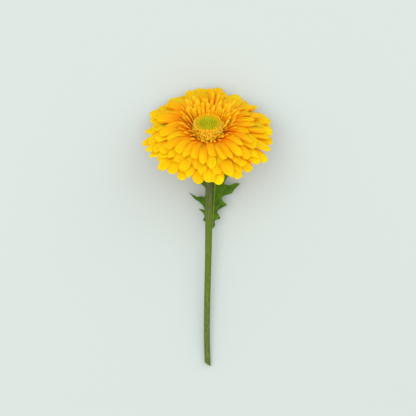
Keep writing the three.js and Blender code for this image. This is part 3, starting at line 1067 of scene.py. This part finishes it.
# %% Cup and bracts
CUP_PROFILE = [(0, -13.6), (3.3, -13.6), (4.4, -13.3), (6.4, -12.2), (8.6, -10.0), (10.0, -7.4),
               (10.5, -4.5), (10.5, 0.3), (10.0, 1.0), (0, 1.0)]
cup = turned("receptacle_visual", CUP_PROFILE, bract_material)
same_numbers(cup, along=0.0, tone=0.0, across=0.0)
hand_in(cup, "bract", "receptacle")

BRACT_LENGTH = 11 * MM
BRACT_WIDTH = 2.9 * MM
BRACT_THICKNESS = 0.4 * MM
BRACT_OUTLINE = [0.8, 0.95, 1.0, 0.95, 0.82, 0.62, 0.38, 0.12]
BRACT_KEEL = [0, 0.3 * MM, 0.45 * MM, 0.3 * MM, 0]
BRACT_TIP = [0.9 * MM, 0.4 * MM, 0, 0.4 * MM, 0.9 * MM]
bract_blank = strap_blank(
    "bract_blank", BRACT_LENGTH, BRACT_WIDTH, BRACT_OUTLINE, BRACT_KEEL, BRACT_TIP, BRACT_THICKNESS,
    [bract_material],
)
BRACT_RINGS = [
    {"node": "outer", "count": 16, "points": [(5.6, -13.2), (9.4, -13.0), (12.0, -10.4), (13.4, -7.0)]},
    {"node": "outer", "count": 18, "points": [(7.2, -12.2), (11.2, -11.4), (13.4, -8.2), (15.0, -4.6)]},
    {"node": "inner", "count": 20, "points": [(8.8, -10.4), (12.2, -9.2), (14.6, -5.8), (16.6, -2.2)]},
    {"node": "inner", "count": 20, "points": [(9.8, -8.2), (12.8, -6.8), (15.4, -3.8), (18.0, -0.4)]},
]


def bract_ring(ring, number):
    bracts = []
    for index in range(ring["count"]):
        azimuth = (index + number / 2 + chance.uniform(-0.15, 0.15)) * math.tau / ring["count"]
        bract = copy_of(bract_blank, f"bract_{number}_{index}", chance.random())
        *curve, (tip_radius, tip_height) = ring["points"]
        tip = (tip_radius + chance.uniform(-0.7, 0.7), tip_height + chance.uniform(-1, 1))
        lay(
            bract, BRACT_LENGTH, metres([*curve, tip]), azimuth,
            widen=chance.uniform(0.85, 1.1),
            twist=math.radians(chance.uniform(-15, 15)),
            sway=chance.uniform(-0.6, 0.6) * MM,
        )
        bracts.append(bract)
    return bracts


for node in ("outer", "inner"):
    bracts = [bract for number, ring in enumerate(BRACT_RINGS) if ring["node"] == node
              for bract in bract_ring(ring, number)]
    hand_in(joined(bracts, f"bracts_{node}_visual"), "bract", f"bracts_{node}")
bpy.data.objects.remove(bract_blank)
print("bracts:", sum(ring["count"] for ring in BRACT_RINGS))

# %% [markdown]
# ## The stem
#
# The stem is a long ribbed tube. It could be lofted ring by ring, but a curve with a bevel profile is
# quicker to steer: the curve gives the route and the thickness at each point, and the profile gives the
# ribs. It becomes a mesh, and one slanting bisect makes the florist's cut, with the paler pith inside.

# %% Stem
STEM_ROUTE = [  # across, along, height and radius, from behind the cut to inside the cup
    (-0.3, -208, 2.0, 2.5), (-0.3, -202, 2.45, 2.5), (-1.0, -176, 5.2, 2.55), (-0.7, -146, 8.1, 2.7),
    (0.1, -112, 11.2, 2.85), (0.5, -90, 13.1, 3.0), (0.7, -76, 14.2, 3.15), (0.9, -46, 16.2, 3.2),
    (0.5, -28, 17.6, 3.2),
]
NECK_ROUTE = [(20.9, 3.2), (16.9, 3.3), (13.7, 3.5)]  # distance behind the head's middle, and radius
RIB_COUNT = 14
RIB_STEPS = 6  # points of the profile for each rib
RIB_DEPTH = 0.035
CUT_FROM_END = 1.9 * MM
CUT_NORMAL = (-0.57, -0.82, 0.0)
RIND_THICKNESS = 0.45 * MM


def stem_route():
    route = [(x * MM, y * MM + HEAD_MIDDLE[1], z * MM, r * MM) for x, y, z, r in STEM_ROUTE]
    for distance, radius in NECK_ROUTE:
        x, y, z = HEAD_MIDDLE - FACING * distance * MM
        route.append((x, y, z, radius * MM))
    return route


def ribbed_profile():
    outline = bpy.data.curves.new("stem_profile", "CURVE")
    outline.dimensions = "2D"
    ring = outline.splines.new("POLY")
    steps = RIB_COUNT * RIB_STEPS
    ring.points.add(steps - 1)
    for step, point in enumerate(ring.points):
        angle = step * math.tau / steps
        radius = 1 - RIB_DEPTH * (0.5 + 0.5 * math.cos(RIB_COUNT * angle))
        point.co = (radius * math.cos(angle), radius * math.sin(angle), 0, 1)
    ring.use_cyclic_u = True
    holder = bpy.data.objects.new("stem_profile", outline)
    bpy.context.scene.collection.objects.link(holder)
    return holder


def swept(name, route, profile):
    path = bpy.data.curves.new(name, "CURVE")
    path.dimensions = "3D"
    path.bevel_mode = "OBJECT"
    path.bevel_object = profile
    path.use_fill_caps = True
    path.resolution_u = 8
    spline = path.splines.new("BEZIER")
    spline.bezier_points.add(len(route) - 1)
    for point, (x, y, z, radius) in zip(spline.bezier_points, route):
        point.co = (x, y, z)
        point.radius = radius
        point.handle_left_type = "AUTO"
        point.handle_right_type = "AUTO"
    piece = bpy.data.objects.new(name, path)
    bpy.context.scene.collection.objects.link(piece)
    only(piece)
    bpy.ops.object.convert(target="MESH")
    return bpy.context.active_object


profile = ribbed_profile()
stem = swept("stem_visual", stem_route(), profile)
bpy.data.objects.remove(profile)
stem.data.materials.clear()
stem.data.materials.append(stem_material)
stem.data.materials.append(pith_material)
bpy.ops.object.mode_set(mode="EDIT")
bpy.ops.mesh.select_all(action="SELECT")
bpy.ops.mesh.remove_doubles(threshold=1e-6)
bpy.ops.mesh.normals_make_consistent(inside=False)
cut_place = (HEAD_MIDDLE[0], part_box("stem")[0].y + CUT_FROM_END, 2.5 * MM)
bpy.ops.mesh.bisect(plane_co=cut_place, plane_no=CUT_NORMAL, use_fill=True, clear_outer=True)
bpy.ops.mesh.inset(thickness=RIND_THICKNESS, depth=0)
stem.active_material_index = 1
bpy.ops.object.material_slot_assign()
bpy.ops.mesh.inset(thickness=0.3 * MM, depth=-0.1 * MM)
bpy.ops.object.mode_set(mode="OBJECT")
bpy.ops.object.shade_smooth_by_angle(angle=math.radians(40))
hand_in(stem, "stem", "stem")
print("stem faces:", len(stem.data.polygons), "box, mm:", np.round(places_of(stem).min(axis=0) / MM, 1))

# %% [markdown]
# ## The leaf
#
# One lobed leaf grows from the stem and lies beneath it. Its outline is the model's own: the plain leaf
# is copied, and its top face is kept. A grid of bisects gives the flat face rows and columns to bend
# by. Then the blade is folded a little along its midrib, its lobes are waved, and it gets its thickness.

# %% Leaf
LEAF_TURN = math.radians(-3)
LEAF_STEP = 1.5 * MM  # between the blade's rows and columns
LEAF_LENGTH = 62 * MM
LEAF_HALF = 22 * MM  # of its width
LEAF_THICKNESS = 0.45 * MM
LEAF_FOOT = (4.1 * MM, -82.5 * MM)  # from the head's middle
BLUNT_CORNER = math.radians(72)
CORNER_ROUNDING = 1.9 * MM
MIDRIB_WIDTH = 1.6 * MM
MIDRIB_SINK = 0.5 * MM
EDGE_DROOP = 3.4 * MM
WAVE_HEIGHT = 0.7 * MM
WAVE_STEP = 4.2 * MM  # of the blade, for each radian of its waves
LEAF_CLEARANCE = 0.6 * MM  # the least height of its top above the table


def leaf_top(name):
    """The top face of the model's leaf, as one flat outline."""
    piece = bpy.data.objects.new(name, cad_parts["leaf"].data.copy())
    bpy.context.scene.collection.objects.link(piece)
    piece.data.materials.clear()
    only(piece)
    bpy.ops.object.mode_set(mode="EDIT")
    bpy.ops.mesh.select_mode(type="FACE")
    bpy.ops.mesh.select_all(action="SELECT")
    bpy.ops.mesh.remove_doubles(threshold=1e-6)
    mesh = bmesh.from_edit_mesh(piece.data)
    mesh.normal_update()
    for face in mesh.faces:
        face.select = face.normal.z < 0.9
    bmesh.update_edit_mesh(piece.data)
    bpy.ops.mesh.delete(type="FACE")
    bpy.ops.mesh.select_all(action="SELECT")
    bpy.ops.mesh.dissolve_limited(angle_limit=math.radians(2))
    bpy.ops.mesh.select_mode(type="VERT")
    bpy.ops.object.mode_set(mode="OBJECT")
    return piece


def round_corners(piece, blunter_than, offset):
    """Rounds an outline's corners that are blunter than an angle, and leaves its points sharp."""
    only(piece)
    bpy.ops.object.mode_set(mode="EDIT")
    mesh = bmesh.from_edit_mesh(piece.data)
    for corner in mesh.verts:
        edges = [edge.other_vert(corner).co - corner.co for edge in corner.link_edges if edge.is_boundary]
        corner.select = len(edges) == 2 and edges[0].angle(edges[1]) > blunter_than
    mesh.select_flush_mode()
    bmesh.update_edit_mesh(piece.data)
    bpy.ops.mesh.bevel(affect="VERTICES", offset=offset, segments=4, profile=0.5, clamp_overlap=True)
    bpy.ops.object.mode_set(mode="OBJECT")


def bisect_grid(piece, low, high, step):
    """Cuts a flat piece into rows and columns."""
    only(piece)
    bpy.ops.object.mode_set(mode="EDIT")
    for axis, normal in ((0, (1, 0, 0)), (1, (0, 1, 0))):
        place = low[axis] + step / 2
        while place < high[axis]:
            at = [0, 0, 0]
            at[axis] = place
            bpy.ops.mesh.select_all(action="SELECT")
            bpy.ops.mesh.bisect(plane_co=at, plane_no=normal)
            place += step
    bpy.ops.object.mode_set(mode="OBJECT")


leaf = leaf_top("leaf_visual")
round_corners(leaf, BLUNT_CORNER, CORNER_ROUNDING)
print("leaf outline corners:", len(leaf.data.vertices), "faces:", len(leaf.data.polygons))
leaf_low, leaf_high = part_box("leaf")
bisect_grid(leaf, leaf_low, leaf_high, LEAF_STEP)
flat = places_of(leaf)
from_foot = flat[:, :2] - (HEAD_MIDDLE[:2] + LEAF_FOOT)
across = from_foot @ np.array([math.cos(LEAF_TURN), math.sin(LEAF_TURN)])
along = from_foot @ np.array([-math.sin(LEAF_TURN), math.cos(LEAF_TURN)])
for name, numbers in (("across", across / LEAF_HALF), ("along", along / LEAF_LENGTH)):
    leaf.data.attributes.new(name, "FLOAT", "POINT").data.foreach_set("value", numbers)
outward = np.abs(across) / LEAF_HALF
sink = MIDRIB_SINK * np.exp(-((across / MIDRIB_WIDTH) ** 2))
droop = EDGE_DROOP * outward**1.6
waves = WAVE_HEIGHT * outward * np.sin(along / WAVE_STEP + 1.5 * np.sign(across))
flat[:, 2] = np.maximum(flat[:, 2] - sink - droop + waves, LEAF_CLEARANCE)
set_places(leaf, flat)


def leaf_finish():
    paint = Paint("leaf_green")
    across = paint.measured("across")
    along = paint.measured("along")
    outward = across.size()
    cloud = paint.noise(paint.place(), scale=130.0, detail=3.0)
    cells = paint.noise(paint.place(), scale=900.0, detail=3.0)
    midrib = 1 - outward.between(0.012, 0.03)
    branch = paint.node(
        "ShaderNodeTexWave",
        {"wave_type": "BANDS", "bands_direction": "X"},
        {"Vector": paint.point(along * 2.1 - outward * 1.1, 0.0, 0.0), "Scale": 1.0, "Distortion": 1.2,
         "Detail": 1.0},
        "Fac",
    )
    branches = branch.between(0.93, 1.0) * (1 - outward.between(0.3, 0.9)) * 0.6
    # The cloud's darker patches are partly the leaf's own mottling and partly painted shade for the folds of
    # the blade.
    green = paint.blend(cloud.between(0.3, 0.7), colour(48, 83, 1), colour(88, 122, 8))
    green = paint.blend(cells.between(0.5, 0.8) * 0.3, green, colour(98, 128, 36))
    green = paint.blend(branches, green, colour(104, 136, 44))
    green = paint.blend(midrib * 0.9, green, colour(140, 162, 58))
    return paint.finish(green, 0.45 + cells * 0.2, cells - branches * 0.8 - midrib, 0.25 * MM,
                        Specular_IOR_Level=0.12)


leaf.data.materials.append(leaf_finish())
solid = leaf.modifiers.new("thickness", "SOLIDIFY")
solid.thickness = LEAF_THICKNESS
solid.offset = -1
apply_modifiers(leaf)
bpy.ops.object.shade_smooth_by_angle(angle=math.radians(50))
hand_in(leaf, "leaf", "leaf")
print("leaf faces:", len(leaf.data.polygons))
